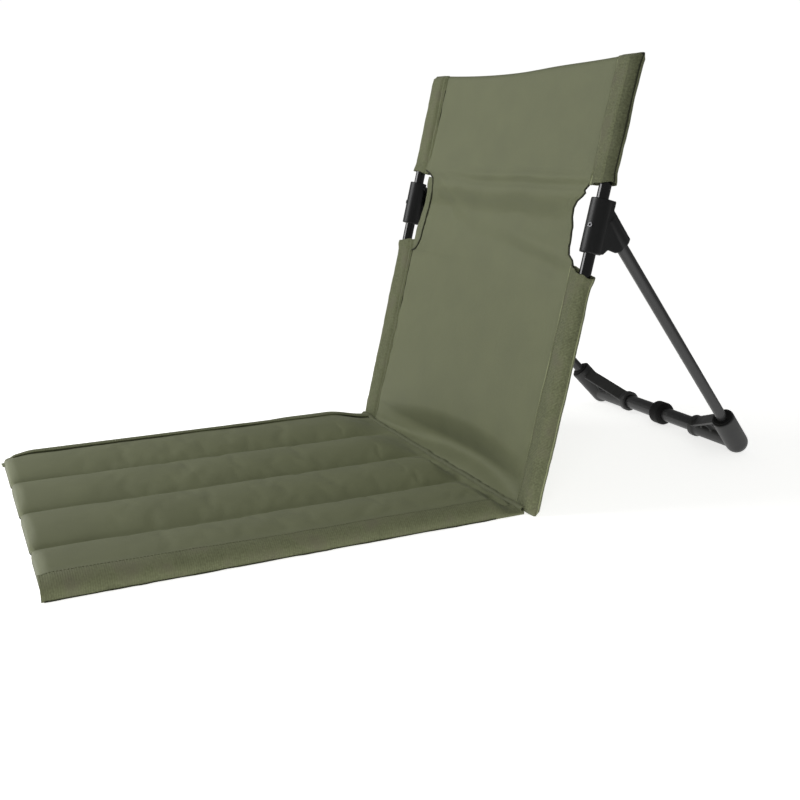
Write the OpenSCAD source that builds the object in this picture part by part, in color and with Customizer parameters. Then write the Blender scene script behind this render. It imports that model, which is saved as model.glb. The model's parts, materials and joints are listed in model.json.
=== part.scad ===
/* [Back poles] */
// Distance between the axes of the two back poles
pole_spacing = 430; // [400:1:480]
// Outside diameter of a back pole
pole_od = 13; // [12:0.5:14]
// Wall of a back pole
pole_wall = 1.2; // [0.8:0.1:2]
// Length of a back pole's tube
pole_len = 470; // [460:1:500]
// Lean of the back from upright, in degrees
recline = 13.4; // [12:0.2:15]
// Height of a pole's lower end above its mark on the floor, along the pole
pole_start = 6.5; // [6.5:0.1:8]

/* [Brackets] */
// Height of the bracket's middle along the pole
bracket_at = 310; // [306:1:314]
// Length of the bracket's sleeve
bracket_len = 57; // [54:1:60]
// Outside diameter of the bracket's sleeve
bracket_od = 22.5; // [21:0.5:24]
// Turn of the bracket's cheek toward the middle, in degrees
cheek_turn = 13.5; // [12.5:0.5:14.5]
// Thickness of the cheek beside the leg
cheek_t = 2.2; // [1.8:0.1:3]
// Height of the leg's pivot above the bracket's middle
pivot_up = 2.7; // [1:0.1:4]
// Distance of the leg's pivot behind the pole's axis
pivot_back = 21; // [20.5:0.1:22]
// Diameter of the pivot pin
pin_d = 6; // [5:0.1:6.4]

/* [Rear frame] */
// Distance between the two feet's socket centres
foot_spacing = 289; // [270:1:300]
// Distance of the crossbar's axis behind the pole's foot
foot_back = 348; // [340:1:360]
// Height of the crossbar's axis above the floor
crossbar_up = 17; // [16:0.5:18]
// Outside diameter of a leg
leg_od = 13; // [12:0.5:13]
// Wall of a leg
leg_wall = 1.2; // [0.8:0.1:2]
// Outside diameter of the crossbar
crossbar_od = 19; // [17:0.5:20]
// Wall of the crossbar
crossbar_wall = 1.2; // [0.8:0.1:2]
// Outside diameter of the foot's leg socket
socket_od = 28; // [27:0.5:30]
// Length of the foot's leg socket above the crossbar's axis
socket_len = 47; // [42:1:52]
// Outside diameter of the foot's arm
arm_od = 24; // [23:0.5:26]
// Length of the foot's arm from the leg's axis
arm_len = 76; // [70:1:90]
// Diameter of the collar over the crossbar's middle joint
collar_od = 31; // [28:0.5:34]
// Length of the collar
collar_len = 22; // [18:1:30]

/* [Seat] */
// Extra width of the seat mat beyond the distance between the poles' axes
seat_over = 2; // [0:1:12]
// Length of the seat mat from its crease
seat_len = 483; // [430:1:520]
// Height of the seat's channels at their crown
seat_crown = 20; // [18:0.5:24]
// Height of the seat at the sewn valleys
seat_valley = 9.5; // [7:0.5:12]
// Height of the seat at its side edges
seat_side = 5; // [4:0.5:8]
// Number of padded channels
seat_channels = 4; // [2:1:5]
// Thickness of the webbing sewn along the seat's sides
webbing_t = 1.6; // [1.2:0.1:2]
// Width of the webbing that turns over the seat's top
webbing_lap = 24; // [18:1:34]

/* [Back cover] */
// Distance from the pole's axis to the seam where a sleeve ends
seam_in = 25; // [22:0.5:30]
// Height of the top hem at the middle, along the back
hem_at = 480; // [478:1:500]
// Rise of the top hem from the middle to the corners
hem_rise = 5; // [2:0.5:10]
// Height of the upper end of the side opening, along the pole
opening_top = 351; // [348:1:358]
// Height of the lower end of the side opening, along the pole
opening_low = 266; // [262:1:270]
// Greatest depth of the side opening from the sleeve's seam
opening_in = 24; // [18:1:30]
// Height at which the side opening is deepest, along the pole
opening_deep_at = 318; // [300:1:325]
// Thickness of the padded back
back_t = 6; // [4:0.5:8]

/* [Hidden] */

// Fits and overruns
cut = 1;
fit = 0.05;
pin_fit = 0.1;
soft_gap = 0.3;
stop_gap = 0.3;
round_fn = 96;
small_fn = 48;
hull_fn = 32;
edge_r = 1;

// Crease between seat and back
crease_ahead = 12.4;
crease_up = 8;
piping_r = 3.3;

// Pole ends
cap_wall = 1.1;
cap_floor = 2.5;
cap_grip = 15;
cap_r = pole_od / 2 + cap_wall;
pole_end = pole_start + pole_len;
rivet_head_r = 2.6;
rivet_head_t = 0.8;
rivet_hole_r = 1.1;
rivet_turn = 22;

// Cover sleeves round the poles
cover_wall = 1.6;
sleeve_r = pole_od / 2 + 2 * soft_gap + cover_wall;
sleeve_slack = 4;
sleeve_out_r = sleeve_r - cover_wall;
seam_r = 1.4;
pocket_floor = 0.4;
cap_room = 0.4;
pole_room = 0.5;

// Back panel's form
panel_columns = 20;
panel_low = 3;
lower_rows = 11;
opening_rows = 11;
upper_rows = 6;
opening_margin = 10;
lower_row_share = 1.5;
panel_edge_t = 2.6;
panel_sag = 5;
bulge_height = 30;
headrest_fold = 2.4;
headrest_fold_at = 346;
headrest_fold_w = 16;
hollow_in = 7;
hollow_at = 27;
hollow_w = 13;
belly_out = 3.5;
belly_at = 60;
belly_w = 17;
fold_power = 0.6;
toe_power = 10;
opening_ease = 12;
opening_low_share = 0.66;
corner_drop = 7;

// Bracket
bracket_r = bracket_od / 2;
eye_in = 5;
eye_w = 10;
ear_r = 7;
ear_t = 3;
ear_gap = 0.8;
roof_t = 2.5;
mouth_at = 27;
web_start = 16;
bulge_r = 11.4;
blind_t = 1.1;
pin_head_r = 4.6;
pin_head_t = 1.4;
nub_back = 2.2;
nub_drop = 6;
corner_r = 1.5;
web_low_share = 0.79;
web_arch_share = 0.75;
web_mid_share = 0.46;
web_foot_share = 0.96;

// Leg eye and rear frame
neck_r = 4.2;
eye_collar_at = 9;
leg_start = 13;
plug_len = 20;
leg_room = 12;
grommet_depth = 9;
grommet_wall = 5;
grommet_proud = 1.6;
grommet_lip = 1;
floor_flat = 0.5;
rim_len = 9;
rim_wall = 4.5;
web_t = 5;
flange_t = 3.6;
flange_w = 17;
flange_drop = 5;
rib_t = 2.2;
rib_w = 11;
rib_count = 3;
bore_stop = 22;
ferrule_len = 74;
collar_round = 5;

// Seat form
seat_columns_each = 9;
seat_rows = 14;
taper_len = 60;
nose_len = 9;
nose_share = 0.5;
scallop = 3;
scallop_from = 40;
notch_power = 2;
crown_power = 0.62;
side_lean = 4;
row_share = 0.1;
piping_gap = 0.3;
webbing_lift = 1;
lap_gap = 0.5;

// Colours
olive = "#6b6f55";
olive_dark = "#5c6048";
pole_black = "#17181a";
plastic_black = "#242628";
leg_gray = "#4b4c4f";
steel = "#8f9194";

// Places worked out from the sizes above
seat_w = pole_spacing + seat_over;
pivot_side = pole_spacing / 2 - eye_in;
pivot_along = bracket_at + pivot_up;
pivot_y = pivot_along * sin(recline) + pivot_back * cos(recline);
pivot_z = pivot_along * cos(recline) - pivot_back * sin(recline);
leg_down = pivot_z - crossbar_up;
leg_out = foot_back - pivot_y;
leg_slope = atan2(leg_out, leg_down);
leg_run = norm([leg_out, leg_down]);
leg_in = pivot_side - foot_spacing / 2;
leg_lean = atan2(leg_in, leg_run);
leg_reach = norm([leg_in, leg_run]);
leg_angle = leg_slope + recline;
crease_y = -crease_ahead;
seat_front_y = crease_y - seat_len;
socket_r = socket_od / 2;
socket_past = (crossbar_up + floor_flat - socket_r) / cos(leg_slope);
rear_y = foot_back + max(socket_past * sin(leg_slope) + socket_r, collar_od / 2);
centre_y = (seat_front_y + rear_y) / 2;
bar_r = crossbar_od / 2;
rim_r = bar_r + rim_wall;
arm_r = arm_od / 2;
grommet_r = leg_od / 2 + grommet_wall;
eye_r = leg_od / 2;
arm_end_x = foot_spacing / 2 - arm_len;
mat_half = seat_w / 2 - webbing_t - soft_gap;
mat_back = piping_r + piping_gap;

// Frames that the pieces are drawn in
module on_side(side) {
    if (side > 0) children();
    else mirror([1, 0, 0]) children();
}

module centred() {
    translate([0, -centre_y, 0]) children();
}

module along_pole(side) {
    centred() on_side(side) translate([pole_spacing / 2, 0, 0]) rotate([-recline, 0, 0]) children();
}

module along_back() {
    centred() rotate([-recline, 0, 0]) children();
}

module at_bracket(side) {
    along_pole(side) translate([0, 0, bracket_at]) children();
}

module at_pivot(side) {
    centred() on_side(side) translate([pivot_side, pivot_y, pivot_z]) rotate([180 + leg_slope, 0, 0])
        children();
}

module along_leg(side) {
    at_pivot(side) rotate([0, -leg_lean, 0]) children();
}

module across(r, len) {
    rotate([0, 90, 0]) cylinder(r = r, h = len, center = true, $fn = small_fn);
}

// A tube with softly broken end edges, drawn along its own axis
module tube(r, wall, len) {
    rotate_extrude($fn = round_fn)
        polygon([[r - wall, 0], [r - wall / 2, 0], [r, wall / 2], [r, len - wall / 2],
            [r - wall / 2, len], [r - wall, len]]);
}

// A turned ring or bush with rounded outer edges
module bush(r, bore_r, len, round_r) {
    rotate_extrude($fn = round_fn)
        polygon(concat([[bore_r, 0]],
            [for (a = [0 : 18 : 90]) [r - round_r + round_r * sin(a), round_r - round_r * cos(a)]],
            [for (a = [0 : 18 : 90]) [r - round_r + round_r * cos(a), len - round_r + round_r * sin(a)]],
            [[bore_r, len]]));
}

// Back poles and what they carry
module back_pole(side) {
    color(pole_black) along_pole(side) translate([0, 0, pole_start]) tube(pole_od / 2, pole_wall, pole_len);
}

module pole_cap() {
    difference() {
        rotate_extrude($fn = small_fn)
            polygon([[0, 0], [cap_r - edge_r, 0], [cap_r, edge_r], [cap_r, cap_floor + cap_grip],
                [0, cap_floor + cap_grip]]);
        translate([0, 0, cap_floor]) cylinder(r = pole_od / 2 + fit, h = cap_grip + cut, $fn = small_fn);
    }
}

module pole_foot_cap(side) {
    color(plastic_black) along_pole(side) translate([0, 0, pole_start - cap_floor]) pole_cap();
}

module pole_top_cap(side) {
    color(plastic_black) along_pole(side) translate([0, 0, pole_end + cap_floor])
        mirror([0, 0, 1]) pole_cap();
}

// Bracket: a sleeve on the pole, a cheek beside the leg, a roof that stops it and an ear
function leg_point(t, off) = [
    pivot_back + t * sin(leg_angle) + off * cos(leg_angle),
    pivot_up - t * cos(leg_angle) + off * sin(leg_angle)];

roof_in = leg_od / 2 + stop_gap;
roof_out = roof_in + roof_t;
web_top = leg_point(-web_start, roof_out);
mouth_top = leg_point(mouth_at, roof_out);
mouth_low = leg_point(mouth_at, -roof_out);
half_sleeve = bracket_len / 2;

module cheek_outline() {
    offset(r = corner_r, $fn = hull_fn) offset(delta = -corner_r)
        polygon([[0, half_sleeve], [bracket_r + nub_back, half_sleeve],
            [bracket_r + nub_back, half_sleeve - nub_drop], web_top, mouth_top, mouth_low,
            [mouth_low[0] * web_low_share, -half_sleeve * web_low_share],
            [mouth_low[0] * web_mid_share, -half_sleeve * web_arch_share],
            [bracket_r, -half_sleeve * web_foot_share], [0, -half_sleeve * web_foot_share]]);
}

module outline_prism() {
    rotate([90, 0, 90]) linear_extrude(height = 2 * bracket_od, center = true) cheek_outline();
}

module cheek_space(inner) {
    rotate([0, 0, cheek_turn]) translate([inner, -bracket_od, -bracket_len])
        cube([bracket_len, 2 * bracket_len, 2 * bracket_len]);
}

module leg_frame_in_bracket() {
    translate([-eye_in, pivot_back, pivot_up]) rotate([180 + leg_angle, 0, 0]) rotate([0, -leg_lean, 0])
        children();
}

module roof() {
    rotate([90, 0, 90]) translate([0, 0, -bulge_r - eye_in])
        linear_extrude(height = bulge_r + eye_in + bracket_r)
            polygon([leg_point(-web_start - roof_out, roof_in), leg_point(mouth_at, roof_in),
                leg_point(mouth_at, roof_out), leg_point(-web_start - roof_out, roof_out)]);
}

cheek_in = bracket_r - cheek_t - edge_r;

module bracket(side) {
    color(plastic_black) at_bracket(side) difference() {
        union() {
            translate([0, 0, -half_sleeve]) bush(bracket_r, pole_od / 2 + fit, bracket_len, edge_r);
            intersection() {
                outline_prism();
                union() {
                    difference() {
                        cheek_space(cheek_in);
                        cheek_space(cheek_in + cheek_t);
                    }
                    intersection() {
                        leg_frame_in_bracket() translate([0, 0, -leg_start])
                            cylinder(r = bulge_r, h = mouth_at + 2 * leg_start, $fn = round_fn);
                        cheek_space(cheek_in);
                    }
                    difference() {
                        roof();
                        cheek_space(cheek_in + cheek_t);
                    }
                }
            }
            translate([-eye_in - eye_w / 2 - ear_gap - ear_t, 0, 0]) rotate([90, 0, 90])
                linear_extrude(height = ear_t) hull() {
                    translate([pivot_back, pivot_up]) circle(r = ear_r, $fn = hull_fn);
                    for (t = [-web_start, 0])
                        translate(leg_point(t, roof_in + roof_t / 2)) circle(r = roof_t / 2, $fn = hull_fn);
                }
        }
        cylinder(r = pole_od / 2 + fit, h = bracket_len + 2 * cut, center = true, $fn = round_fn);
        translate([-bracket_len - eye_in, pivot_back, pivot_up]) rotate([0, 90, 0])
            cylinder(r = pin_d / 2 + fit, h = bracket_len + pin_reach, $fn = small_fn);
    }
}

// The pin stops inside the cheek, so the outer face stays closed
cheek_x_at_pivot = (cheek_in - pivot_back * sin(cheek_turn)) / cos(cheek_turn);
pin_reach = cheek_x_at_pivot + cheek_t - blind_t + eye_in;
ear_back_x = -eye_in - eye_w / 2 - ear_gap - ear_t;

module pivot_pin(side) {
    color(steel) at_bracket(side) translate([0, pivot_back, pivot_up]) {
        translate([ear_back_x, 0, 0]) rotate([0, 90, 0])
            cylinder(r = pin_d / 2, h = pin_reach - eye_in - ear_back_x - fit, $fn = small_fn);
        translate([ear_back_x - pin_head_t, 0, 0]) rotate([0, 90, 0])
            cylinder(r = pin_head_r, h = pin_head_t, $fn = small_fn);
    }
}

module bracket_rivet(side) {
    color(steel) at_bracket(side) rotate([0, 0, rivet_turn]) translate([0, -bracket_r - rivet_head_t, 0])
        rotate([-90, 0, 0]) difference() {
            cylinder(r = rivet_head_r, h = rivet_head_t, $fn = small_fn);
            translate([0, 0, -cut]) cylinder(r = rivet_hole_r, h = rivet_head_t + 2 * cut, $fn = small_fn);
        }
}

// Rear frame
module leg_eye(side) {
    color(plastic_black) difference() {
        union() {
            at_pivot(side) across(eye_r, eye_w);
            along_leg(side) cylinder(r = neck_r, h = leg_start, $fn = small_fn);
            along_leg(side) translate([0, 0, eye_collar_at])
                cylinder(r = leg_od / 2, h = leg_start - eye_collar_at, $fn = round_fn);
            along_leg(side) translate([0, 0, eye_collar_at])
                cylinder(r = leg_od / 2 - leg_wall - fit, h = plug_len, $fn = round_fn);
        }
        at_pivot(side) across(pin_d / 2 + pin_fit, 2 * eye_w);
    }
}

module leg(side) {
    color(leg_gray) along_leg(side) translate([0, 0, leg_start])
        tube(leg_od / 2, leg_wall, leg_reach - leg_start - leg_room);
}

module leg_grommet(side) {
    color(pole_black) along_leg(side) translate([0, 0, leg_reach - socket_len - grommet_proud])
        bush(grommet_r, leg_od / 2 + fit, grommet_depth + grommet_proud, grommet_lip);
}

module floor_cut() {
    translate([-seat_w, -seat_len, -seat_w]) cube([2 * seat_w, 2 * seat_len, seat_w]);
}

function foot_corner() = [-leg_in, leg_run];
function up_leg(d, side_off) = foot_corner() + d * [sin(leg_lean), -cos(leg_lean)] - [side_off, 0];

module foot_plate(t, pts) {
    at_pivot(1) rotate([90, 0, 0]) linear_extrude(height = t, center = true) polygon(pts);
}

// The web between leg socket and arm, in the plane of the rear frame
arm_tip = foot_corner() + [-arm_len + rim_len, -arm_r];
leg_tip = up_leg(socket_len - flange_drop, socket_r);
web_line = leg_tip - arm_tip;
web_unit = web_line / norm(web_line);
web_normal = [-web_unit[1], web_unit[0]];

module foot_web() {
    lip = flange_t * web_normal;
    foot_plate(web_t, [foot_corner(), arm_tip + [0, arm_r], arm_tip, leg_tip,
        up_leg(socket_len - flange_drop, 0)]);
    foot_plate(flange_w, [arm_tip, leg_tip, leg_tip + lip, arm_tip + lip]);
    for (i = [1 : rib_count]) {
        p = arm_tip + web_line * i / (rib_count + 1);
        q = foot_corner() + [-arm_len + rim_len + arm_len * i / (rib_count + 1), 0];
        d = (q - p) / norm(q - p);
        n = [-d[1], d[0]] * rib_t / 2;
        foot_plate(rib_w, [p - n, p + n, q + n, q - n]);
    }
}

// Half outline of the leg socket: a straight wall that closes in a round end
module socket_profile() {
    polygon(concat([[0, 0], [socket_r - edge_r, 0], [socket_r, edge_r]],
        [for (a = [0 : 9 : 90]) [socket_r * cos(a), socket_len + socket_past + socket_r * sin(a)]]));
}

module foot_left_solid() {
    difference() {
        union() {
            along_leg(1) translate([0, 0, leg_reach - socket_len])
                rotate_extrude($fn = round_fn) socket_profile();
            centred() translate([arm_end_x, foot_back, crossbar_up]) rotate([0, 90, 0])
                cylinder(r = arm_r, h = arm_len, $fn = round_fn);
            centred() translate([arm_end_x, foot_back, crossbar_up]) rotate([0, 90, 0])
                bush(rim_r, 0, rim_len, edge_r);
            foot_web();
        }
        along_leg(1) translate([0, 0, leg_reach - socket_len - cut])
            cylinder(r = leg_od / 2 + fit, h = socket_len + cut - leg_room, $fn = round_fn);
        along_leg(1) translate([0, 0, leg_reach - socket_len - cut])
            cylinder(r = grommet_r + fit, h = grommet_depth + cut, $fn = round_fn);
        centred() translate([arm_end_x - cut, foot_back, crossbar_up]) rotate([0, 90, 0])
            cylinder(r = bar_r + fit, h = arm_len - bore_stop + cut, $fn = round_fn);
        centred() floor_cut();
    }
}

module foot(side) {
    color(plastic_black) on_side(side) foot_left_solid();
}

module crossbar(side) {
    color(leg_gray) centred() on_side(side) translate([0, foot_back, crossbar_up]) rotate([0, 90, 0])
        tube(bar_r, crossbar_wall, arm_end_x + arm_len - bore_stop);
}

module crossbar_ferrule() {
    color(steel) centred() translate([-ferrule_len / 2, foot_back, crossbar_up]) rotate([0, 90, 0])
        tube(bar_r - crossbar_wall - fit, crossbar_wall, ferrule_len);
}

module crossbar_collar() {
    color(pole_black) centred() translate([-collar_len / 2, foot_back, crossbar_up]) rotate([0, 90, 0])
        bush(collar_od / 2, bar_r + fit, collar_len, collar_round);
}

// Cover sleeves
module sleeve_section() {
    hull() {
        circle(r = sleeve_r, $fn = small_fn);
        translate([sleeve_slack, 0]) circle(r = sleeve_out_r, $fn = small_fn);
        translate([-seam_in + seam_r, 0]) circle(r = seam_r, $fn = hull_fn);
    }
}

module lower_sleeve(side) {
    color(olive_dark) difference() {
        along_pole(side) translate([0, 0, -sleeve_r])
            linear_extrude(height = opening_low + sleeve_r) sleeve_section();
        along_pole(side) translate([0, 0, pole_start])
            cylinder(r = pole_od / 2 + pole_room, h = opening_low, $fn = small_fn);
        along_pole(side) translate([0, 0, pole_start - cap_floor - pocket_floor])
            cylinder(r = cap_r + cap_room, h = pocket_floor + cap_floor + cap_grip + cap_room,
                $fn = small_fn);
        centred() floor_cut();
    }
}

top_hem = hem_at + hem_rise;

module upper_sleeve(side) {
    color(olive_dark) along_pole(side) difference() {
        translate([0, 0, opening_top]) linear_extrude(height = top_hem - opening_top) sleeve_section();
        translate([0, 0, opening_top - cut])
            cylinder(r = pole_od / 2 + pole_room, h = pole_end - opening_top + cut, $fn = small_fn);
        translate([0, 0, pole_end - cap_grip - cap_room])
            cylinder(r = cap_r + cap_room, h = cap_grip + cap_floor + 2 * cap_room, $fn = small_fn);
    }
}

module crease_piping() {
    color(olive_dark) centred() translate([0, crease_y, crease_up]) across(piping_r, 2 * mat_half);
}

// A closed solid between two grids of points of the same size, with mirrored diagonals
function turned(f, flip) = flip ? [f[0], f[2], f[1]] : f;

function grid_faces(cols, rows, base, flip) = [
    for (r = [0 : rows - 1]) for (c = [0 : cols - 1]) for (k = [0, 1])
        let (a = base + r * (cols + 1) + c, b = a + 1, d = a + cols + 1, e = d + 1)
            turned(c < cols / 2 ? (k == 0 ? [a, d, b] : [b, d, e]) : (k == 0 ? [a, e, b] : [a, d, e]), flip)];

function rim_loop(cols, rows) = concat(
    [for (c = [0 : cols - 1]) c],
    [for (r = [0 : rows - 1]) r * (cols + 1) + cols],
    [for (c = [cols : -1 : 1]) rows * (cols + 1) + c],
    [for (r = [rows : -1 : 1]) r * (cols + 1)]);

function rim_faces(loop, other) = [
    for (i = [0 : len(loop) - 1]) for (k = [0, 1])
        let (a = loop[i], b = loop[(i + 1) % len(loop)])
            k == 0 ? [a, b, b + other] : [a, b + other, a + other]];

module grid_solid(cols, rows, upper, lower) {
    count = len(upper);
    polyhedron(points = concat(upper, lower),
        faces = concat(grid_faces(cols, rows, 0, false), grid_faces(cols, rows, count, true),
            rim_faces(rim_loop(cols, rows), count)), convexity = 10);
}

function smooth(a, b, x) = let (t = max(0, min(1, (x - a) / (b - a)))) t * t * (3 - 2 * t);

// Back panel: half width, forward bulge and fold depth at height u
panel_half = pole_spacing / 2 - seam_in - soft_gap;

// The opening deepens from its lower end up, then closes under the upper corner
function opening_depth(u) = let (start = opening_low + opening_ease)
    opening_in * smooth(opening_low, start, u)
    * (opening_low_share + (1 - opening_low_share) * smooth(start, opening_deep_at, u))
    * (1 - smooth(opening_deep_at, opening_top - corner_drop, u));

function panel_width(u) = panel_half - opening_depth(u);

panel_toe = (crease_ahead - piping_r - soft_gap) * cos(recline) + crease_up * sin(recline);

function panel_t(s) = panel_edge_t + (back_t - panel_edge_t) * (1 - s * s);

function fold(u, at, w) = exp(-pow((u - at) / w, 2));

function panel_front(s, u) = let (k = smooth(0, bulge_height, u), m = 1 - s * s)
    panel_sag * m * k - panel_t(s) / 2
    - (1 - k) * (panel_toe - panel_t(s) / 2) * (1 - pow(abs(s), toe_power))
    + headrest_fold * m * fold(u, headrest_fold_at, headrest_fold_w)
    + pow(m, fold_power) * (hollow_in * fold(u, hollow_at, hollow_w) - belly_out * fold(u, belly_at, belly_w));

function panel_back(s, u) = panel_front(s, u) + panel_t(s);

panel_rows = lower_rows + opening_rows + upper_rows;

low_row = opening_low - opening_margin;
high_row = opening_top + opening_margin;

function row_height(r) = let (p = r - lower_rows, q = p - opening_rows)
    p <= 0 ? panel_low + (low_row - panel_low) * pow(r / lower_rows, lower_row_share)
    : q <= 0 ? low_row + (high_row - low_row) * p / opening_rows
    : high_row + (hem_at - high_row) * q / upper_rows;

function panel_points(back) = [
    for (r = [0 : panel_rows]) for (c = [0 : panel_columns])
        let (s = 2 * c / panel_columns - 1, u0 = row_height(r), top = u0 / hem_at,
            u = u0 + hem_rise * s * s * top * top)
            [s * panel_width(u0), back ? panel_back(s, u0) : panel_front(s, u0), u]];

module back_panel() {
    color(olive) along_back()
        grid_solid(panel_columns, panel_rows, panel_points(false), panel_points(true));
}

// Seat mat: crowned channels between sewn valleys, thin at the crease
seat_cols = seat_channels * seat_columns_each;

function channel_share(s) = let (f = (s + 1) / 2 * seat_channels) f - floor(f);

function side_share(s) = max(0, 1 - (1 - abs(s)) * seat_channels);

function valley_height(s) = seat_valley + (seat_side - seat_valley) * smooth(0, 1, side_share(s));

function mat_height(s) = let (c = channel_share(s), v = valley_height(s))
    v + (seat_crown - v) * pow(abs(sin(180 * c)), crown_power);

function taper(d) = smooth(0, taper_len, d);

function nose(s, d) = let (e = max(0, d - (seat_len - nose_len)) / nose_len)
    1 - (1 - nose_share) * (1 - sqrt(max(0, 1 - e * e))) * (1 - side_share(s));

function crease_height(s) = crease_up + (seat_side - crease_up) * smooth(0, 1, side_share(s));

function mat_top(s, d) = let (h = crease_height(s)) (h + (mat_height(s) - h) * taper(d)) * nose(s, d);

function mat_row(r) = let (t = r / seat_rows)
    mat_back + (seat_len - mat_back) * (t - row_share * sin(360 * t));

function mat_points(top) = [
    for (r = [0 : seat_rows]) for (c = [0 : seat_cols])
        let (s = 2 * c / seat_cols - 1, d = mat_row(r), notch = 1 - abs(sin(180 * channel_share(s))),
            curl = scallop * pow(notch, notch_power) * smooth(seat_len - scallop_from, seat_len, d))
            [s * (mat_half - (top ? side_lean : 0)), crease_y - d + curl, top ? mat_top(s, d) : 0]];

module seat_mat() {
    color(olive) centred() grid_solid(seat_cols, seat_rows, mat_points(true), mat_points(false));
}

// Side webbing: one strip that covers the low wall and follows the mat's rounded top
top_half = mat_half - side_lean;
column_w = 2 * top_half / seat_cols;
lap_columns = floor((webbing_lap - cut) / column_w);

function lap_reach(k) = k > lap_columns ? webbing_lap : k * column_w;

function lap_point(k, y, d, over, out) =
    [top_half - lap_reach(k) + (k == 0 ? out : 0), y, mat_top(1 - lap_reach(k) / top_half, d) + over];

function strip_ring(d) = let (y = crease_y - d) concat(
    [[seat_w / 2, y, webbing_lift]],
    [for (k = [0 : lap_columns + 1]) lap_point(k, y, d, lap_gap + webbing_t, soft_gap + webbing_t)],
    [for (k = [lap_columns + 1 : -1 : 0]) lap_point(k, y, d, lap_gap, soft_gap)],
    [[seat_w / 2 - webbing_t, y, webbing_lift]]);

strip_rows = [for (r = [0 : seat_rows]) mat_row(r)];
strip_sides = 2 * lap_columns + 6;

function strip_faces(rows) = concat(
    [[for (i = [0 : strip_sides - 1]) i]],
    [for (r = [0 : rows - 1]) for (i = [0 : strip_sides - 1])
        let (a = r * strip_sides + i, b = r * strip_sides + (i + 1) % strip_sides)
            each [[a, a + strip_sides, b + strip_sides], [a, b + strip_sides, b]]],
    [[for (i = [strip_sides - 1 : -1 : 0]) rows * strip_sides + i]]);

module seat_webbing(side) {
    color(olive_dark) centred() on_side(side)
        polyhedron(points = [for (d = strip_rows) each strip_ring(d)], faces = strip_faces(seat_rows),
            convexity = 6);
}

back_pole(1);  // back_pole_left
back_pole(-1);  // back_pole_right
pole_foot_cap(1);  // pole_foot_cap_left
pole_foot_cap(-1);  // pole_foot_cap_right
pole_top_cap(1);  // pole_top_cap_left
pole_top_cap(-1);  // pole_top_cap_right
bracket(1);  // bracket_left
bracket(-1);  // bracket_right
bracket_rivet(1);  // bracket_rivet_left
bracket_rivet(-1);  // bracket_rivet_right
pivot_pin(1);  // pivot_pin_left
pivot_pin(-1);  // pivot_pin_right
back_panel();
upper_sleeve(1);  // upper_sleeve_left
upper_sleeve(-1);  // upper_sleeve_right
lower_sleeve(1);  // lower_sleeve_left
lower_sleeve(-1);  // lower_sleeve_right
crease_piping();
leg(1);  // leg_left
leg(-1);  // leg_right
leg_eye(1);  // leg_eye_left
leg_eye(-1);  // leg_eye_right
leg_grommet(1);  // leg_grommet_left
leg_grommet(-1);  // leg_grommet_right
foot(1);  // foot_left
foot(-1);  // foot_right
crossbar(1);  // crossbar_left
crossbar(-1);  // crossbar_right
crossbar_ferrule();
crossbar_collar();
seat_mat();
seat_webbing(1);  // seat_webbing_left
seat_webbing(-1);  // seat_webbing_right
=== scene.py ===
"""Folding camping chair: cloth, webbing, mouldings, finishes and studio over its fixed frame.

Lengths are in metres in the frame's axes: +X is the sitter's left, -Y the front and +Z up."""
import json
import math

import bmesh
import bpy
import numpy as np
from mathutils import Matrix, Vector

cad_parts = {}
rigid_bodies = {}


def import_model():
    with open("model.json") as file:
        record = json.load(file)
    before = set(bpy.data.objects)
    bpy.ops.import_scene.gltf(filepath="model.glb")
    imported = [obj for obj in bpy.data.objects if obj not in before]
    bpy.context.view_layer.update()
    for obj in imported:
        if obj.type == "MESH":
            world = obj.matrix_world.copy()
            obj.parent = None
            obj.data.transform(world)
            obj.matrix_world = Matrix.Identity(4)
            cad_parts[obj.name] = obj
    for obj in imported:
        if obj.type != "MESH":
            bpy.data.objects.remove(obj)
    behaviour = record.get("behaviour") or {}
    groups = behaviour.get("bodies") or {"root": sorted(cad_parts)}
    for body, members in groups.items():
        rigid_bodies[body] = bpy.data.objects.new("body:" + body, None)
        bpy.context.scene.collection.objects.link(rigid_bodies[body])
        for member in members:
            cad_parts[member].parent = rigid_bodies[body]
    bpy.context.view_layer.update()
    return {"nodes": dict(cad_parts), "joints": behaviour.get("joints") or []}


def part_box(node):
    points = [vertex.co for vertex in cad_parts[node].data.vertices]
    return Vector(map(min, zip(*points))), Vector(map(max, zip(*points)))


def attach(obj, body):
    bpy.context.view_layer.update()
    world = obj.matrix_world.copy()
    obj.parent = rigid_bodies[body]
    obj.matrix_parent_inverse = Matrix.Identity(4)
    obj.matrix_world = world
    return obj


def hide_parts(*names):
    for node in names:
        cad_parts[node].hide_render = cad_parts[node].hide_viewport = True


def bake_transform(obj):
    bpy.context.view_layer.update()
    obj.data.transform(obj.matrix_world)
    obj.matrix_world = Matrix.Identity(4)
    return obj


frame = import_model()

MM = 0.001

# Sign of x on each side. Left is the near side, and right the far one.
SIDES = {"left": 1, "right": -1}

# Lean of the back, the crease's distance before the poles, and the gap under the cloth
RECLINE = math.radians(13.4)
CREASE_AHEAD = 12.4 * MM
FLOOR_GAP = 0.4 * MM

# Places taken from the frame
joint_at = {joint["name"]: Vector(joint["pos_m"]) for joint in frame["joints"]}
crease = joint_at["seat_fold"]
pole_foot_y = crease.y + CREASE_AHEAD
mat_low, mat_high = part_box("seat_mat")
panel_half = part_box("back_panel")[1].x
pole_low, pole_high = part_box("back_pole_left")
pole_x = (pole_low.x + pole_high.x) / 2

# Heights along the back
OPENING_LOW = 266 * MM
OPENING_TOP = 351 * MM
HEM_AT = 480 * MM
HEM_RISE = 5 * MM


# Shaping functions
def ramp(a, b, x):
    """Rises smoothly from 0 at a to 1 at b."""
    t = np.clip((x - a) / (b - a), 0, 1)
    return t * t * (3 - 2 * t)


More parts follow.
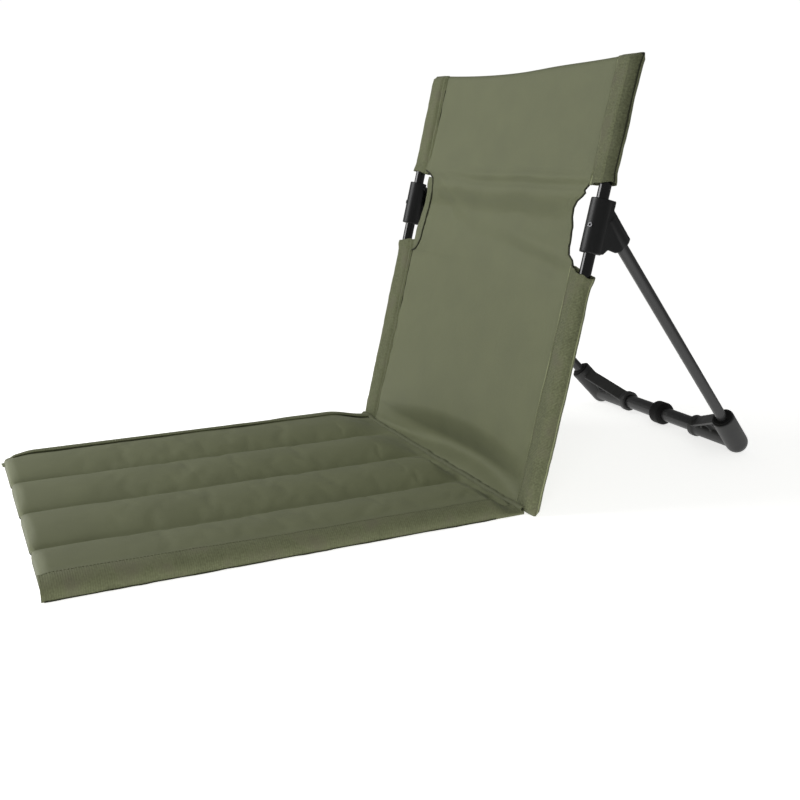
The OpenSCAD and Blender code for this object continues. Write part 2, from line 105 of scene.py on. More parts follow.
def hump(x, centre, width):
    """A smooth hill of height 1."""
    return np.exp(-(((x - centre) / width) ** 2))


def ridge(x, centre, below, above):
    """A smooth hill of height 1 with its own width on each side."""
    return hump(x, centre, np.where(x < centre, below, above))


# Size of the noise lattice, and where place 0 lies in it
LATTICE = 128
LATTICE_AT = 40


def soft_noise(u, v, size, seed):
    """Smooth noise from -1 to 1. size is the length of its bumps, in u's and v's unit."""
    lattice = np.random.default_rng(seed).uniform(-1, 1, (LATTICE, LATTICE))
    a, b = np.broadcast_arrays(np.asarray(u) / size + LATTICE_AT, np.asarray(v) / size + LATTICE_AT)
    i, j = np.floor(a).astype(int), np.floor(b).astype(int)
    s, t = ramp(0, 1, a - i), ramp(0, 1, b - j)
    i0, i1, j0, j1 = i % LATTICE, (i + 1) % LATTICE, j % LATTICE, (j + 1) % LATTICE
    low = lattice[i0, j0] * (1 - s) + lattice[i1, j0] * s
    high = lattice[i0, j1] * (1 - s) + lattice[i1, j1] * s
    return low * (1 - t) + high * t


def stacked(*parts):
    """Points from arrays of their parts."""
    return np.stack(np.broadcast_arrays(*parts), -1)


def unit(vectors):
    return vectors / np.linalg.norm(vectors, axis=-1, keepdims=True)


def distances(line):
    """Distance of each point of a line from its start, along it."""
    return np.concatenate([[0], np.cumsum(np.linalg.norm(np.diff(line, axis=0), axis=1))])


def points_at(places, reach, line):
    """Points of a line at some places along it. reach is the place of each of its own points."""
    return stacked(*(np.interp(places, reach, part) for part in line.T))


def on_back(x, depth, up):
    """Points of the leaning back. depth is toward the rear, and up is along the pole."""
    y = pole_foot_y + up * math.sin(RECLINE) + depth * math.cos(RECLINE)
    z = up * math.cos(RECLINE) - depth * math.sin(RECLINE)
    return stacked(x, y, z)


def full_turn(sides):
    return np.linspace(0, 2 * np.pi, sides + 1)[:-1]


def joined(spans):
    """Places over spans in a row, each of them a start, an end and a count of steps."""
    parts = [np.linspace(a, b, n, endpoint=False) for a, b, n in spans]
    return np.concatenate([*parts, [spans[-1][1]]])


back_normal = np.array([0, -math.cos(RECLINE), math.sin(RECLINE)])
up_normal = np.array([0, 0, 1.0])


# Mesh building
def linked(name, data):
    """A new object in the scene."""
    obj = bpy.data.objects.new(name, data)
    bpy.context.scene.collection.objects.link(obj)
    return obj


class Skin:
    """Collects grids of points into one mesh, with a UV map in metres for the finishes."""

    def __init__(self):
        self.points, self.uv, self.faces, self.corner_uv, self.marks = [], [], [], [], []
        self.count = 0

    def grid(self, points, across, along, wrap=False, marks=0):
        """Adds a grid and returns its vertex numbers. With wrap, the last column joins the first."""
        rows, cols = points.shape[:2]
        uv = stacked(across, along)
        ids = self.count + np.arange(rows * cols).reshape(rows, cols)
        self.points.append(points.reshape(-1, 3))
        self.uv.append(uv[:, :cols].reshape(-1, 2))
        self.count += rows * cols
        r, c = np.meshgrid(np.arange(rows - 1), np.arange(cols if wrap else cols - 1), indexing="ij")
        corners = [(r, c), (r, c + 1), (r + 1, c + 1), (r + 1, c)]
        self.faces.extend(np.stack([ids[a, b % cols] for a, b in corners], -1).reshape(-1, 4).tolist())
        self.corner_uv.extend(np.stack([uv[a, b] for a, b in corners], -2).reshape(-1, 4, 2).tolist())
        self.marks.extend(np.broadcast_to(marks, r.shape).ravel().tolist())
        return ids

    def bridge(self, first, second, closed=False):
        """Joins two rows of vertices with a strip of faces."""
        uv = np.concatenate(self.uv)
        count = len(first) if closed else len(first) - 1
        for k in range(count):
            n = (k + 1) % len(first)
            face = [int(first[k]), int(first[n]), int(second[n]), int(second[k])]
            self.faces.append(face)
            self.corner_uv.append(uv[face].tolist())
            self.marks.append(0)

    def hem(self, front, back):
        """Closes a sheet of two grids along its four edges."""
        for edge in (np.s_[0], np.s_[-1], np.s_[:, 0], np.s_[:, -1]):
            self.bridge(front[edge], back[edge])

    def build(self, name, tidy=True):
        mesh = bpy.data.meshes.new(name)
        mesh.from_pydata(np.concatenate(self.points).tolist(), [], self.faces)
        layer = mesh.uv_layers.new(name="metres")
        layer.data.foreach_set("uv", np.ravel(self.corner_uv).tolist())
        mesh.polygons.foreach_set("material_index", self.marks)
        obj = linked(name, mesh)
        if tidy:
            face_outward(obj)
        shade_smooth(obj)
        return obj


def face_outward(obj):
    work = bmesh.new()
    work.from_mesh(obj.data)
    bmesh.ops.recalc_face_normals(work, faces=work.faces)
    work.to_mesh(obj.data)
    work.free()


def shade_smooth(obj):
    obj.data.polygons.foreach_set("use_smooth", [True] * len(obj.data.polygons))
    obj.data.update()


def settle(obj):
    """Applies a piece's modifiers."""
    graph = bpy.context.evaluated_depsgraph_get()
    mesh = bpy.data.meshes.new_from_object(obj.evaluated_get(graph))
    obj.modifiers.clear()
    obj.data = mesh
    shade_smooth(obj)


def refine(obj):
    """Smooths a piece by one subdivision."""
    modifier = obj.modifiers.new("Subdivision", "SUBSURF")
    modifier.levels = 1
    modifier.render_levels = 1
    settle(obj)


def coordinates(mesh):
    flat = np.empty(len(mesh.vertices) * 3, np.float32)
    mesh.vertices.foreach_get("co", flat)
    return flat.reshape(-1, 3).astype(float)


CLOTH_FRAMES = 20


def swell(obj, held, pressure, cap, excess):
    """Inflates a pad whose held vertices stay, with cloth that is cut larger by the share excess.

    No vertex moves further than cap."""
    group = obj.vertex_groups.new(name="held")
    group.add(np.flatnonzero(held).tolist(), 1.0, "REPLACE")
    cloth = obj.modifiers.new("Cloth", "CLOTH")
    cloth.settings.quality = 8
    cloth.settings.mass = 0.25
    cloth.settings.bending_stiffness = 1.0
    cloth.settings.use_pressure = True
    cloth.settings.uniform_pressure_force = pressure
    cloth.settings.vertex_group_mass = "held"
    cloth.settings.shrink_min = -excess
    cloth.settings.shrink_max = -excess
    cloth.settings.effector_weights.gravity = 0
    start = coordinates(obj.data)
    for number in range(1, CLOTH_FRAMES + 1):
        bpy.context.scene.frame_set(number)
    graph = bpy.context.evaluated_depsgraph_get()
    moved = coordinates(obj.evaluated_get(graph).data) - start
    length = np.linalg.norm(moved, axis=1, keepdims=True)
    moved *= np.minimum(1, cap / np.maximum(length, 1e-9))
    obj.modifiers.remove(cloth)
    obj.vertex_groups.remove(group)
    bpy.context.scene.frame_set(1)
    return start + moved


# Finishes
class Finish:
    """A node material in the making. An input is a number, a colour or another node's socket."""

    def __init__(self, name):
        self.material = bpy.data.materials.new(name)
        self.material.use_nodes = True
        self.tree = self.material.node_tree
        self.tree.nodes.clear()

    def add(self, kind, inputs, **settings):
        node = self.tree.nodes.new("ShaderNode" + kind)
        for key, value in settings.items():
            setattr(node, key, value)
        for key, value in inputs.items():
            if isinstance(value, bpy.types.NodeSocket):
                self.tree.links.new(value, node.inputs[key])
            else:
                node.inputs[key].default_value = value
        return node

    def math(self, operation, a, b=0.0):
        return self.add("Math", {0: a, 1: b}, operation=operation).outputs[0]

    def plus(self, a, b):
        return self.math("ADD", a, b)

    def times(self, a, b):
        return self.math("MULTIPLY", a, b)

    def noise(self, place, scale, stretch=(1, 1, 1), detail=2.0):
        spread = self.add("Mapping", {"Vector": place, "Scale": stretch}).outputs[0]
        return self.add("TexNoise", {"Vector": spread, "Scale": scale, "Detail": detail}).outputs["Fac"]

    def about(self, noise, share):
        """Noise about zero, of the given strength."""
        return self.times(self.math("SUBTRACT", noise, 0.5), share)

    def blend(self, share, low, high):
        mix = self.add("Mix", {0: share, 6: (*low, 1), 7: (*high, 1)}, data_type="RGBA")
        return mix.outputs[2]

    def between(self, value, low, high):
        """Maps 0..1 onto low..high."""
        return self.add("MapRange", {"Value": value, "To Min": low, "To Max": high}).outputs[0]

    def bump(self, height, distance, strength=1.0, normal=None):
        inputs = {"Height": height, "Distance": distance, "Strength": strength}
        if normal is not None:
            inputs["Normal"] = normal
        return self.add("Bump", inputs).outputs[0]

    def close(self, base, rough, gloss, normal, extra=()):
        inputs = {"Base Color": base, "Roughness": rough, "Specular IOR Level": gloss, "Normal": normal}
        shader = self.add("BsdfPrincipled", {**inputs, **dict(extra)}).outputs[0]
        self.add("OutputMaterial", {"Surface": shader})
        return self.material


def shades(colour, spread):
    """A darker and a lighter shade of a colour."""
    return [c * (1 - spread) for c in colour], [c * (1 + spread) for c in colour]


def woven(name, colour, thread=0.55 * MM, slub=0.35, rough=0.6, mottle=0.9):
    """Coated polyester: a fine plain weave with faint streaks and soft unevenness."""
    f = Finish(name)
    place = f.add("UVMap", {}, uv_map="metres").outputs[0]
    axes = f.add("SeparateXYZ", {"Vector": place}).outputs
    turn = math.pi / thread
    weave = f.times(f.math("SINE", f.times(axes[0], turn)), f.math("SINE", f.times(axes[1], turn)))
    warp = f.noise(place, 1.0, (1400, 60, 1))
    weft = f.noise(place, 1.0, (60, 1400, 1))
    clouds = f.noise(place, 22.0, detail=3.0)
    streaks = f.plus(f.about(warp, slub), f.about(weft, slub))
    tone = f.plus(streaks, f.about(clouds, mottle))
    tone = f.plus(tone, f.times(weave, 0.08))
    base = f.blend(f.plus(tone, 0.5), *shades(colour, 0.14))
    crumple = f.bump(f.noise(place, 55.0, detail=4.0), 0.8 * MM, 0.3)
    fine = f.bump(f.plus(weave, f.plus(warp, weft)), 0.09 * MM, 0.6, crumple)
    uneven = f.between(clouds, rough - 0.06, rough + 0.06)
    return f.close(base, uneven, 0.28, fine, {"Sheen Weight": 0.05, "Sheen Roughness": 0.45})


def ribbed(name, colour, wear_and_highlight, pitch, depth=0.24 * MM, fleck=2.2):
    """Webbing: ribs, small cross threads, and patches of a worn, browner shade."""
    f = Finish(name)
    place = f.add("UVMap", {}, uv_map="metres").outputs[0]
    axes = f.add("SeparateXYZ", {"Vector": place}).outputs
    wander = f.times(f.noise(place, 90.0), 1.6)
    rib = f.math("SINE", f.plus(f.times(axes[1], 2 * math.pi / pitch), wander))
    rib = f.times(rib, f.between(f.noise(place, 14.0), 0.0, 1.4))
    cross = f.math("SINE", f.times(axes[0], 2 * math.pi / (0.9 * MM)))
    mottle = f.noise(place, 420.0, detail=4.0)
    patches = f.noise(place, 34.0, detail=3.0)
    tone = f.plus(f.times(rib, 0.2), f.times(cross, 0.06))
    tone = f.plus(tone, f.about(mottle, fleck))
    share = f.plus(tone, f.plus(f.about(patches, 1.2), 0.5))
    clean = f.blend(share, *shades(colour, 0.26))
    wear = f.add("MapRange", {"Value": patches, "From Min": 0.5, "From Max": 0.68}).outputs[0]
    base = f.add("Mix", {0: wear, 6: clean, 7: (*wear_and_highlight, 1)}, data_type="RGBA").outputs[2]
    height = f.plus(f.times(rib, 0.7), f.times(cross, 0.2))
    normal = f.bump(f.plus(height, mottle), depth, 0.8)
    return f.close(base, f.between(mottle, 0.72, 0.86), 0.2, normal, {"Sheen Weight": 0.06})


def moulded_finish(name, colour, rough, grain, depth, gloss=0.3, fuzz=0.0):
    """Moulded nylon or rubber: a fine spark-eroded grain and slightly uneven gloss."""
    f = Finish(name)
    place = f.add("TexCoord", {}).outputs["Object"]
    grains = f.noise(place, grain, detail=3.0)
    clouds = f.noise(place, 45.0, detail=3.0)
    base = f.blend(clouds, *shades(colour, 0.2))
    uneven = f.between(clouds, rough - 0.07, rough + 0.07)
    return f.close(base, uneven, gloss, f.bump(grains, depth, 0.5), {"Sheen Weight": fuzz})


def tube_finish(name, colour, metallic, rough, grain, depth, coat=0.0):
    """Anodised or coated tube: a drawn grain along it and a little dust in the gloss."""
    f = Finish(name)
    place = f.add("TexCoord", {}).outputs["Object"]
    drawn = f.noise(place, 1.0, (900, 900, 25), detail=3.0)
    dust = f.noise(place, grain, detail=4.0)
    base = f.blend(f.plus(f.times(drawn, 0.5), f.times(dust, 0.5)), *shades(colour, 0.2))
    uneven = f.between(dust, rough - 0.05, rough + 0.06)
    coated = {"Metallic": metallic, "Coat Weight": coat, "Coat Roughness": 0.08}
    return f.close(base, uneven, 0.5, f.bump(dust, depth, 0.4), coated)


def thread_finish(name, colour):
    """Sewing thread: a tight twist."""
    f = Finish(name)
    place = f.add("TexCoord", {}).outputs["Object"]
    twist = f.noise(place, 2600.0)
    base = f.blend(twist, *shades(colour, 0.3))
    return f.close(base, 0.65, 0.2, f.bump(twist, 0.08 * MM))


OLIVE = (0.149, 0.161, 0.087)
WORN = (0.143, 0.144, 0.088)


def olive(share):
    """The cover's colour, lighter or darker by a share."""
    return [c * share for c in OLIVE]


finish = {
    "fabric": woven("olive_weave", OLIVE),
    "sleeve": ribbed("olive_sleeve", olive(0.95), WORN, 1.6 * MM, depth=0.3 * MM),
    "webbing": ribbed("olive_webbing", olive(0.97), WORN, 2.1 * MM, fleck=1.3),
    "band": ribbed("dark_band", olive(0.72), [c * 0.74 for c in WORN], 1.5 * MM, depth=0.35 * MM),
    # Near-black binding for trims and edges; on the sleeves the same colour is painted shade in seam
    # grooves and gaps.
    "binding_and_painted_shade": woven("dark_binding", olive(0.2), thread=0.8 * MM, rough=0.75),
    # Painted highlight: a pale olive for the lit crests of sleeve seams and the inner fold.
    "ridge": woven("light_ridge", olive(1.8), thread=0.8 * MM, slub=0.6),
    # Painted shade: the crease roll's olive, darkened for the shade in the crease.
    "seam": woven("sewn_joint", olive(0.75)),
    "thread": thread_finish("olive_thread", olive(0.85)),
    "pole": tube_finish("gloss_black", (0.002, 0.002, 0.002), 0.0, 0.12, 700.0, 0.01 * MM, coat=0.45),
    "tube": tube_finish("matt_gray", (0.056, 0.056, 0.057), 0.6, 0.3, 1500.0, 0.03 * MM),
    "moulding": moulded_finish("satin_black", (0.006, 0.0064, 0.0066), 0.4, 1600.0, 0.05 * MM, 0.42),
    "elbow": moulded_finish("satin_gray", (0.022, 0.022, 0.022), 0.42, 1600.0, 0.05 * MM, 0.4),
    "rubber": moulded_finish("black_rubber", (0.005, 0.005, 0.005), 0.7, 900.0, 0.08 * MM, 0.2, 0.05),
    "steel": tube_finish("bright_steel", (0.22, 0.22, 0.23), 1.0, 0.3, 900.0, 0.01 * MM),
}
SLOT = dict.fromkeys(("fabric", "sleeve", "binding_and_painted_shade", "ridge", "seam", "thread"), "cover_fabric")
SLOT.update(webbing="webbing", band="webbing", pole="pole", tube="frame_tube", moulding="moulding",
            elbow="moulding", rubber="rubber_trim", steel="hardware")


def dress(obj, look, extra=()):
    """Gives a piece its finishes."""
    if obj.data.materials:
        obj.data.materials.clear()
    for key in (look, *extra):
        obj.data.materials.append(finish[key])
    return obj


# Stitching
STITCH = 3.2 * MM
STITCH_R = 0.3 * MM
STITCH_SIDES = 6


def stitch(skin, path, normal):
    """Sews a row of stitches along a line of points on the cloth."""
    reach = distances(path)
    starts = np.arange(0.3 * STITCH, reach[-1] - STITCH, STITCH)
    spans, sizes, lifts = [0, 0.12, 0.6, 0.72], [0.35, 1, 1, 0.35], [-0.6, 0.5, 0.5, -0.6]
    spots = np.stack([points_at(starts + s * STITCH, reach, path) for s in spans], 1)
    up = unit(normal)
    sides = np.cross(unit(spots[:, -1] - spots[:, 0]), up)
    turn = full_turn(STITCH_SIDES)
    for spot, side in zip(spots, sides):
        ring = np.cos(turn)[:, None] * side + np.sin(turn)[:, None] * up
        rings = [p + STITCH_R * (size * ring + lift * up) for p, size, lift in zip(spot, sizes, lifts)]
        around = np.linspace(0, 1, STITCH_SIDES + 1)[None, :]
        skin.grid(np.array(rings), around, np.array(spans)[:, None], wrap=True)


# Back panel
PANEL_T = 6 * MM
PANEL_EDGE_T = 2.6 * MM
PANEL_SAG = 5 * MM
PANEL_TUCK = 3.6 * MM
PANEL_TOE = 10.4 * MM
TOE_RISE = 30 * MM
HEADREST = 340 * MM
HEM_ARCH = 2.6 * MM

# Edge of each side opening: height along the back and half width, in millimetres
OPENING_EDGE = {
    1: ((262, 193), (266, 190), (270, 187), (275, 178), (283, 175), (292, 174), (305, 170), (315, 166),
        (324, 168), (331, 174), (336, 183), (340, 187), (343, 184.5), (347, 188), (352, 193)),
    -1: ((241, 193), (245, 190), (248, 181), (254, 176), (262, 172.5), (283, 171.5), (297, 171),
         (311, 169.5), (327, 164), (337, 163), (344, 166), (350, 178), (354, 193)),
}


def opening_half(side, up):
    """Half width of the panel beside an opening. Above and below it, the panel runs under the sleeve."""
    heights, halves = np.array(OPENING_EDGE[side]).T * MM
    tucked = panel_half + PANEL_TUCK
    return np.interp(up, heights, halves, left=tucked, right=tucked)


def panel_x(s, up):
    """Place across the back for s from -1 to 1, with each opening's own edge."""
    frayed = 0.35 * MM * soft_noise(up, 0, 4 * MM, 11)
    return np.where(s > 0, s * (opening_half(1, up) + frayed), s * (opening_half(-1, up) - frayed))


def panel_thickness(s):
    return PANEL_EDGE_T + (PANEL_T - PANEL_EDGE_T) * (1 - s * s)


# Height of the hollow above the crease at places across the back, in millimetres
HOLLOW_S = (-1, -0.8, -0.4, 0, 0.4, 0.8, 1)
HOLLOW_AT = (-10, -4, 9, 20, 21, 15, 10)

# Depth of the hollow, and the belly above it
HOLLOW_DEPTH = 12.5 * MM
BELLY = 7.5 * MM
BELLY_ABOVE = 43 * MM


def lower_folds(s, up):
    """The cloth falls back above the crease and bellies forward over it."""
    full = np.maximum(1 - s * s, 0) ** 0.4
    hollow = np.interp(s, HOLLOW_S, HOLLOW_AT) * MM + 1.5 * MM * soft_noise(s, 0, 0.3, 7)
    folds = HOLLOW_DEPTH * ridge(up, hollow, 9 * MM, 17 * MM)
    folds -= BELLY * ridge(up, hollow + BELLY_ABOVE, 17 * MM, 55 * MM)
    folds += 0.8 * MM * hump(up, hollow - 12 * MM, 5 * MM) * soft_noise(s, up, 0.13, 9)
    return folds * full * ramp(0, 11 * MM, up)


# The slanting fold: places across from -1 to 1, with heights and depths in millimetres
SLANT_S = (-0.95, -0.8, -0.6, -0.3, 0, 0.3, 0.6, 0.8, 1)
SLANT_AT = (338, 330, 307, 293, 288, 281, 273, 268, 262)
SLANT_DEPTH = (0.5, 1.8, 2.0, 0.9, 1.2, 2.4, 3.6, 4.2, 2.5)
SLANT_HALF = 10 * MM

# Folds across the headrest: the dip, the swelling over it and the sharp fold at its top
HEADREST_DIP = 4.4 * MM
HEADREST_SWELL = 4.0 * MM
SHARP_FOLD = 2.1 * MM
SHARP_HALF = 4.5 * MM


def headrest_folds(s, up):
    """Folds from one opening's upper corner to the other's, and the slanting one below them."""
    out = np.abs(s)
    tilt = 2.5 * MM * soft_noise(s, 0, 0.3, 5)
    strength = 1.25 + 0.4 * out
    folds = HEADREST_DIP * ridge(up, HEADREST - 29 * MM + tilt, 40 * MM, 14 * MM) * strength
    folds -= HEADREST_SWELL * ridge(up, HEADREST - 2 * MM + tilt, 13 * MM, 38 * MM) * strength
    crease_line = HEADREST + 12.5 * MM + 0.5 * tilt
    sharp = hump(up, crease_line - SHARP_HALF, 4.5 * MM) - hump(up, crease_line + SHARP_HALF, 5 * MM)
    folds += SHARP_FOLD * ramp(-0.95, -0.1, s) * sharp
    slant = np.interp(s, SLANT_S, SLANT_AT) * MM
    depth = np.interp(s, SLANT_S, SLANT_DEPTH) * MM
    folds += depth * (hump(up, slant - SLANT_HALF, 11 * MM) - hump(up, slant + SLANT_HALF, 11 * MM))
    return folds * (1 - 0.65 * out ** 7)


def panel_folds(s, up):
    x = s * panel_half
    inner = 1 - s * s
    folds = lower_folds(s, up) + headrest_folds(s, up)
    folds += 0.5 * MM * soft_noise(up, s, 11 * MM, 21) * ramp(0.86, 0.985, np.abs(s))
    folds += 0.9 * MM * soft_noise(x, up, 70 * MM, 31) * inner
    folds += 1.6 * MM * ramp(HEM_AT - 3.5 * MM, HEM_AT, up)
    return folds


def panel_front(s, up):
    inner = 1 - s * s
    grown = ramp(0, TOE_RISE, up)
    half_t = panel_thickness(s) / 2
    base = PANEL_SAG * inner * grown - half_t - (1 - grown) * (PANEL_TOE - half_t) * (1 - s ** 30)
    return base + panel_folds(s, up)


def panel_point(s, up, behind=0.0):
    """A point of the back. behind is 0 on its front face and 1 on its rear face."""
    high = (up / HEM_AT) ** 2
    lift = HEM_RISE * s * s * high + HEM_ARCH * hump(s, 0.4, 0.45) * high ** 4
    thin = 1 - 0.55 * ramp(HEM_AT - 6 * MM, HEM_AT, up)
    thick = panel_thickness(s) * np.ones_like(up)
    depth = panel_front(s, up) + (1 - thin) * thick / 2 + behind * thick * thin
    return on_back(panel_x(s, up), depth, up + lift)


def make_panel():
    s = np.linspace(-1, 1, 121)
    s = np.sign(s) * (1 - (1 - np.abs(s)) ** 1.15)
    heights = [(3, 110, 60), (110, 236, 34), (236, 358, 122), (358, HEM_AT / MM, 40)]
    s, up = np.meshgrid(s, joined(heights) * MM)
    skin = Skin()
    front = skin.grid(panel_point(s, up), s * panel_half, up)
    back = skin.grid(panel_point(s, up, 1.0), s * panel_half, up)
    skin.hem(front, back)
    panel = skin.build("back_cloth")
    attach(dress(panel, "fabric"), "back_frame")
    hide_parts("back_panel")


# Sides of a roll, and a direction that no roll follows
ROLL_SIDES = 10
NOT_ALONG = np.array([0.31, 0.87, 0.38])


def tube_along(skin, path, radius):
    """A round roll of cloth along a path. radius is one length or one for each point."""
    run = unit(np.gradient(path, axis=0))
    side = unit(np.cross(run, NOT_ALONG))
    up = np.cross(side, run)
    turn = full_turn(ROLL_SIDES)
    wide = np.broadcast_to(radius, len(path))[:, None, None]
    ring = side[:, None] * np.cos(turn)[None, :, None] + up[:, None] * np.sin(turn)[None, :, None]
    reach = distances(path)
    around = 2 * np.pi * float(np.mean(radius)) * np.linspace(0, 1, ROLL_SIDES + 1)
    return skin.grid(path[:, None] + wide * ring, around[None, :], reach[:, None], wrap=True)


def make_opening_trim(side, name):
    """The rolled dark edge of a side opening."""
    heights = np.array(OPENING_EDGE[side])[:, 0] * MM
    up = np.linspace(heights[0], heights[-1], 150)
    s = np.full_like(up, float(side))
    outward = np.array([side, 0, 0])
    path = panel_point(s, up, 0.45) - 0.2 * MM * outward
    if side < 0:
        path = panel_point(s, up) + 0.4 * MM * outward + 0.3 * MM * back_normal
    skin = Skin()
    tube_along(skin, path, 1.1 * MM * (1 + 0.2 * soft_noise(up, 0, 4 * MM, 43)))
    trim = skin.build(f"opening_trim_{name}")
    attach(dress(trim, "binding_and_painted_shade"), "back_frame")


# Outer edge of the facing: height along the back and half width, in millimetres
FACING_OUT = ((246, 186), (256, 187), (272, 188), (285, 187), (297, 184), (313, 181), (327, 178),
              (345, 177))


def make_facing():
    """The loose facing behind the far opening, which reaches toward the bracket."""
    up = np.linspace(FACING_OUT[0][0] * MM, FACING_OUT[-1][0] * MM, 90)[:, None]
    across = np.linspace(0, 1, 16)[None, :]
    inner = opening_half(-1, up) - 3 * MM
    heights, halves = np.array(FACING_OUT).T * MM
    outer = np.interp(up, heights, halves) + 0.8 * MM * soft_noise(up, 0, 9 * MM, 45)
    x = -(inner + (outer - inner) * across)
    front = panel_front(np.array(-1.0), up) + PANEL_EDGE_T
    depth = front + 0.6 * MM - 5 * MM * across ** 1.2 + 0.5 * MM * soft_noise(up, across, 0.02, 46)
    lift = HEM_RISE * (up / HEM_AT) ** 2
    skin = Skin()
    faces = [skin.grid(on_back(x, depth + layer, up + lift), across * 20 * MM, up)
             for layer in (0, 0.8 * MM)]
    skin.hem(*faces)
    facing = skin.build("opening_facing_right")
    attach(dress(facing, "fabric"), "back_frame")


# Sleeves round the poles

# Discs that the pocket is stretched round: at the pole, outward of it and at the seam's tip
SLEEVE_R = 8.7 * MM
SLACK = 4 * MM
SLACK_R = 7.3 * MM
TIP_X = -25 * MM
TIP_R = 2.0 * MM

# Cloth, mesh and open ends of the pockets
SLEEVE_WALL = 1.1 * MM
RING = 96
MOUTH = 14 * MM
MOUTH_SLOPE = {"upper": 3.5 * MM, "lower": -9 * MM}
# Finishes of a sleeve's faces: plain cloth, the ribbed band, painted shade and painted highlight.
PLAIN, BAND, PAINTED_SHADE, PAINTED_HIGHLIGHT = range(4)


def sleeve_outline():
    """Outline of the pocket from the seam's tip round the front, the pole and the rear, evenly spaced."""
    turn = np.linspace(math.pi, 3 * math.pi, 1441)
    n = stacked(np.cos(turn), np.sin(turn))
    discs = [(0, SLEEVE_R), (SLACK, SLACK_R), (TIP_X, TIP_R)]
    reach = stacked(*(c * n[:, 0] + r for c, r in discs))
    best = reach.argmax(1)
    centre = np.array([c for c, r in discs])[best]
    radius = np.array([r for c, r in discs])[best]
    outline = stacked(centre + radius * n[:, 0], radius * n[:, 1])
    length = distances(outline)
    spots = np.linspace(0, length[-1], RING + 1)
    angle = np.interp(spots, length, turn)
    return points_at(spots, length, outline), stacked(np.cos(angle), np.sin(angle)), spots


sleeve_ring, sleeve_normal, sleeve_arc = sleeve_outline()

# Places round the pocket, and the distance between the rows of its mesh
INNER_SEAM = 5 * MM
BAND_FROM = 33 * MM
OUTER_SEAM = 44.5 * MM
INNER_FOLD = 13 * MM
FOLD_EDGE = 7.5 * MM
FOLD_RISE = 2.8 * MM
ROW = 2.4 * MM

# Relief along the seams: distances from the seam, rises and widths in millimetres
INNER_RELIEF = ((0, 0.9, 1.3), (3.2, -0.4, 1.2))
OUTER_RELIEF = ((-1.8, 0.5, 1.0), (0, -0.8, 0.9), (2.2, 0.4, 1.2))


def seam_wander(up, seed):
    """How far a sleeve's seams stray at each height."""
    return 0.7 * MM * soft_noise(up, 0, 22 * MM, seed + 2)


def sleeve_relief(arc, up, seed):
    """Raised seams and creases of a sleeve at arc round the pocket, as a lift of its cloth."""
    lift = 0.5 * MM * soft_noise(up, arc, 26 * MM, seed)
    lift += 0.35 * MM * soft_noise(up, arc, 8 * MM, seed + 1)
    wander = seam_wander(up, seed)
    around = sleeve_arc[-1]
    seams = ((INNER_SEAM, INNER_RELIEF), (around - INNER_SEAM, INNER_RELIEF), (OUTER_SEAM, OUTER_RELIEF))
    for seam, parts in seams:
        for off, rise, width in parts:
            lift += rise * MM * hump(arc, seam + off * MM + wander, width * MM)
    high_up = ramp(OPENING_TOP, OPENING_TOP + 40 * MM, up)
    lift += FOLD_RISE * ridge(arc, INNER_FOLD, 6 * MM, 10 * MM) * (0.4 + 0.6 * high_up)
    return lift


def sleeve_marks(side, part, rows, seed):
    """Finish of each face of a sleeve: the ribbed band, painted highlights on its seams and inner fold
    edge, and painted shade in its seam grooves and curled top tip.
    """
    arc = (sleeve_arc[:-1] + sleeve_arc[1:]) / 2
    marks = np.full((rows - 1, RING), PLAIN)
    band_from = BAND_FROM if side > 0 else 1 * MM
    if part == "upper":
        marks[:, (arc > band_from) & (arc < OUTER_SEAM)] = BAND
    elif side > 0:
        # Painted highlights on the near lower sleeve's raised seams.
        marks[:, np.abs(arc - INNER_SEAM) < 0.7 * MM] = PAINTED_HIGHLIGHT
        marks[:, np.abs(arc - OUTER_SEAM - 1.6 * MM) < 0.5 * MM] = PAINTED_HIGHLIGHT
    # Painted shade: a dark line in the near sleeves' outer seam groove, and in the far sleeves' gap
    # against the panel, broken in places on the far upper one.
    broken = soft_noise(np.arange(rows - 1) * ROW, 0, 24 * MM, seed + 8) > -0.1
    shown = broken if side < 0 and part == "upper" else np.full(rows - 1, side < 0 or part == "upper")
    dark = (np.abs(arc - OUTER_SEAM) < 0.8 * MM) if side > 0 else (arc < 1.6 * MM)
    marks[np.ix_(shown, dark)] = PAINTED_SHADE
    if part == "upper" and side > 0:
        # Painted highlight along the upper near sleeve's inner fold edge, broken in places.
        wear_and_highlight = soft_noise(np.arange(rows - 1) * ROW, 0, 15 * MM, seed + 9) > -0.45
        marks[np.ix_(wear_and_highlight, np.abs(arc - FOLD_EDGE) < 0.7 * MM)] = PAINTED_HIGHLIGHT
        # Painted shade on the curled top tip.
        marks[-1:, (arc > 41 * MM) & (arc < 50 * MM)] = PAINTED_SHADE
    return marks


